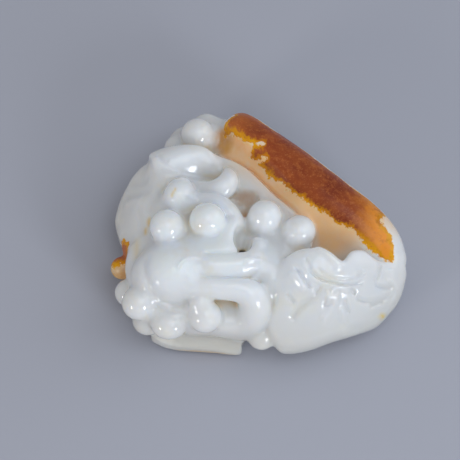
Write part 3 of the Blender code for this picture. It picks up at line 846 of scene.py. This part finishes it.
# Peach beside the skin: partly the stone's own stain, partly painted glow through the skin and painted warm
# shade
PEACH = (247, 205, 152)
AMBER_BROWN = (220, 164, 82)
STAIN_YELLOW = (232, 196, 84)
RUSSET = (170, 84, 36)
DARK_RUSSET = (138, 58, 29)
CORE_RUSSET = (122, 48, 24)
PALE_RUSSET = (180, 98, 44)
GRAIN_RUSSET = (204, 120, 58)
PORE_RUSSET = (222, 150, 84)
LEFT_END = (190, 110, 54)
RIGHT_END = (255, 168, 48)
OCHRE = (232, 166, 8)
DEEP_OCHRE = (200, 122, 0)
FLOOR_GREY = (176, 179, 192)


def linear(colour):
    """A colour from 0 to 255 as a shader takes it."""
    parts = [value / 255 for value in colour]
    return (*[v / 12.92 if v <= 0.04045 else ((v + 0.055) / 1.055) ** 2.4 for v in parts], 1.0)


class Nodes:
    """Short ways to add nodes to a material. Each takes sockets or plain values, lengths in metres."""

    def __init__(self, material):
        material.use_nodes = True
        self.tree = material.node_tree
        self.tree.nodes.clear()
        self.place = self.put("ShaderNodeTexCoord").outputs["Object"]

    def put(self, kind, inputs=None, **settings):
        new = self.tree.nodes.new(kind)
        for name, value in settings.items():
            setattr(new, name, value)
        for name, value in (inputs or {}).items():
            if isinstance(value, bpy.types.NodeSocket):
                self.tree.links.new(value, new.inputs[name])
            else:
                new.inputs[name].default_value = value
        return new

    def attribute(self, name):
        return self.put("ShaderNodeAttribute", attribute_name=name).outputs["Fac"]

    def noise(self, scale, detail=3.0, roughness=0.55, place=None):
        inputs = {"Vector": self.place if place is None else place, "Scale": scale, "Detail": detail,
                  "Roughness": roughness}
        return self.put("ShaderNodeTexNoise", inputs).outputs["Fac"]

    def sum_of(self, first, share, second):
        """first + share * second"""
        inputs = {0: second, 1: share, 2: first}
        return self.put("ShaderNodeMath", inputs, operation="MULTIPLY_ADD").outputs[0]

    def product(self, first, second):
        return self.put("ShaderNodeMath", {0: first, 1: second}, operation="MULTIPLY").outputs[0]

    def between(self, value, low, high):
        """0 below low, 1 above high, smooth between; low may be the larger."""
        inputs = {"Value": value, "From Min": low, "From Max": high}
        return self.put("ShaderNodeMapRange", inputs, interpolation_type="SMOOTHSTEP").outputs["Result"]

    def mix(self, share, first, second):
        """Two colours, each a socket or a colour from 0 to 255."""
        first, second = [linear(c) if isinstance(c, tuple) else c for c in (first, second)]
        return self.put("ShaderNodeMix", {0: share, 6: first, 7: second}, data_type="RGBA").outputs[2]


def white_stone(n, cloud, patch, ragged, height):
    """Painted shade, warm and dim, low down and painted light, cool and bright, on top; painted shade in
    hollows; peach beside the skin, partly the stone's own tint and partly painted glow and warm shade.
    """
    # Painted shade low down and painted light on the tops, set by height
    white = n.mix(n.between(height, 0.002, 0.014), LOW_PAINTED_SHADE_WHITE, WHITE)
    white = n.mix(n.between(height, 0.0145, 0.0195), white, TOP_PAINTED_LIGHT_WHITE)
    white = n.mix(n.between(cloud, 0.5, 0.75), white, CLOUDY_WHITE)
    # Painted shade in wide hollows and narrow creases
    white = n.mix(n.between(n.attribute("wide_hollow_shade"), 0.42, 0.68), white, WIDE_HOLLOW_PAINTED_SHADE)
    white = n.mix(n.between(n.attribute("narrow_hollow_shade"), 0.66, 0.92), white, NARROW_HOLLOW_PAINTED_SHADE)
    # Peach beside the skin and in the recess, partly painted glow and warm shade
    white = n.mix(n.product(n.attribute("warm"), n.sum_of(0.7, 0.5, patch)), white, PEACH)
    # Amber stains; in the recess partly painted warm shade
    amber = n.sum_of(n.attribute("amber"), 0.5, patch)
    white = n.mix(n.between(amber, 0.4, 1.2), white, AMBER_BROWN)
    yellow = n.product(n.attribute("yellow"), n.between(ragged, 0.25, 0.45))
    return n.mix(yellow, white, STAIN_YELLOW)


def russet_skin(n, edge, cloud, patch, ragged, fine, span):
    """Brown with a darker core, lighter ends, grain and pores, and an ochre edge."""
    left_end = n.between(n.sum_of(span, 0.008, patch), 0.006, -0.003)
    right_end = n.between(n.sum_of(span, 0.006, patch), 0.0205, 0.0262)
    ends = n.sum_of(left_end, 1.0, right_end)
    end_tint = n.mix(n.between(span, 0.010, 0.015), LEFT_END, RIGHT_END)
    core = n.product(n.between(span, 0.003, 0.010), n.between(span, 0.0215, 0.0165))
    brown = n.mix(n.between(cloud, 0.36, 0.66), RUSSET, DARK_RUSSET)
    brown = n.mix(n.product(core, 0.4), brown, CORE_RUSSET)
    brown = n.mix(n.product(ends, 0.75), brown, end_tint)
    brown = n.mix(n.between(patch, 0.5, 0.8), brown, PALE_RUSSET)
    brown = n.mix(n.product(n.between(ragged, 0.48, 0.72), 0.45), brown, GRAIN_RUSSET)
    brown = n.mix(n.product(n.between(fine, 0.56, 0.70), 0.3), brown, PORE_RUSSET)
    ochre = n.mix(n.between(patch, 0.35, 0.65), OCHRE, DEEP_OCHRE)
    return n.mix(n.between(n.sum_of(edge, 0.35, ends), 2.35, 1.6), ochre, brown)


def jade_material():
    material = bpy.data.materials.new("white_jade")
    n = Nodes(material)
    cloud = n.noise(130.0)
    patch = n.noise(420.0, detail=4.0, roughness=0.6)
    ragged = n.noise(1100.0, detail=4.0, roughness=0.6)
    fine = n.noise(3200.0)
    span, _, height = n.put("ShaderNodeSeparateXYZ", {"Vector": n.place}).outputs
    edge = n.sum_of(n.sum_of(n.sum_of(n.attribute("skin"), 3.0, patch), 1.6, ragged), 0.5, fine)
    on_skin = n.between(edge, 2.75, 2.45)
    cut = n.product(n.between(edge, 3.0, 2.8), n.between(fine, 0.5, 0.62))
    white = n.mix(cut, white_stone(n, cloud, patch, ragged, height), CUT_WHITE)
    colour = n.mix(on_skin, white, russet_skin(n, edge, cloud, patch, ragged, fine, span))
    brushed = n.put("ShaderNodeMapping", {"Vector": n.place, "Rotation": (0.0, 0.0, 0.5),
                                          "Scale": (0.3, 2.0, 1.0)}).outputs["Vector"]
    polish = n.noise(900.0, roughness=0.5, place=brushed)
    uneven = n.sum_of(n.sum_of(n.noise(420.0, detail=2.0), 0.35, polish), 0.25, ragged)
    bump = n.put("ShaderNodeBump", {"Height": uneven, "Strength": 0.16, "Distance": 0.0002})
    rough = n.put("ShaderNodeMapRange", {"Value": ragged, "To Min": 0.05, "To Max": 0.11}).outputs["Result"]
    shader = n.put("ShaderNodeBsdfPrincipled", {
        "Base Color": colour, "Roughness": n.sum_of(rough, 0.17, on_skin), "IOR": 1.6,
        "Normal": bump.outputs["Normal"], "Specular IOR Level": n.sum_of(0.5, -0.25, on_skin),
        "Subsurface Weight": n.sum_of(1.0, -0.6, on_skin), "Subsurface Radius": (1.0, 0.88, 0.76),
        "Subsurface Scale": 0.0055})
    n.put("ShaderNodeOutputMaterial", {"Surface": shader.outputs["BSDF"]})
    return material


def make_carving():
    stone = carve_stone(STEP)
    mesh = mesh_from(*surface_net(resampled(stone, MESH_STEP)), "carving")
    points, way = settle(mesh, stone)
    note_hollow_shade(mesh, stone, points, way)
    note_stains(mesh, points)
    mesh.materials.append(jade_material())
    carving = bpy.data.objects.new("carved_pebble", mesh)
    bpy.context.scene.collection.objects.link(carving)
    return carving


# Floor, lights and camera, in metres
FLOOR_SIZE = 3.0
FLOOR_GAP = 0.0001
# name, azimuth (0 in front of the carving, 90 to its right), elevation, size, energy, colour, distance
LIGHTS = (
    ("soft_box_right", 36, 21, 0.125, 0.73, (0.90, 0.95, 1.0), 0.5),
    ("soft_box_left", -48, 16, 0.1, 0.45, (1.0, 0.97, 0.92), 0.5),
    ("soft_box_back", 105, 34, 0.7, 1.6, (0.84, 0.91, 1.0), 0.8),
    ("soft_box_top", 60, 74, 0.5, 1.1, (0.88, 0.95, 1.0), 0.8),
)
LIGHT_TARGET = (0.0, 0.0, 0.01)
CAMERA_PLACE = (-0.0056, -0.152618, 0.350438)
CAMERA_TILT = 24.0
LENS = 150.0
SKY_COLOUR = (0.80, 0.79, 0.79, 1.0)
SKY_STRENGTH = 0.44


def make_floor():
    bpy.ops.mesh.primitive_plane_add(size=FLOOR_SIZE, location=(0.0, 0.0, -FLOOR_GAP))
    floor = bpy.context.object
    floor.name = "floor"
    material = bpy.data.materials.new("pale_floor")
    material.use_nodes = True
    shader = material.node_tree.nodes["Principled BSDF"]
    shader.inputs["Base Color"].default_value = linear(FLOOR_GREY)
    shader.inputs["Roughness"].default_value = 0.9
    floor.data.materials.append(material)


def make_light(name, azimuth, elevation, size, energy, colour, distance):
    """A square soft box that faces the carving."""
    turn, rise = math.radians(azimuth), math.radians(elevation)
    way = Vector((math.sin(turn) * math.cos(rise), -math.cos(turn) * math.cos(rise), math.sin(rise)))
    light = bpy.data.lights.new(name, "AREA")
    light.shape = "SQUARE"
    light.size = size
    light.energy = energy
    light.color = colour
    lamp = bpy.data.objects.new(name, light)
    lamp.location = way * distance + Vector(LIGHT_TARGET)
    lamp.rotation_mode = "QUATERNION"
    lamp.rotation_quaternion = way.to_track_quat("Z", "Y")
    bpy.context.scene.collection.objects.link(lamp)


def make_camera():
    data = bpy.data.cameras.new("camera")
    data.lens = LENS
    data.sensor_width = 36.0
    data.clip_start = 0.01
    data.clip_end = 10.0
    camera = bpy.data.objects.new("camera", data)
    camera.location = CAMERA_PLACE
    camera.rotation_euler = (math.radians(CAMERA_TILT), 0.0, 0.0)
    bpy.context.scene.collection.objects.link(camera)
    bpy.context.scene.camera = camera


def make_world():
    world = bpy.data.worlds.new("studio")
    world.use_nodes = True
    background = world.node_tree.nodes["Background"]
    background.inputs["Color"].default_value = SKY_COLOUR
    background.inputs["Strength"].default_value = SKY_STRENGTH
    bpy.context.scene.world = world


carving = make_carving()
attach(carving, "root")
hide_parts("jade_carving")

make_floor()
for light in LIGHTS:
    make_light(*light)
make_camera()
make_world()
bpy.context.scene.view_settings.view_transform = "Standard"
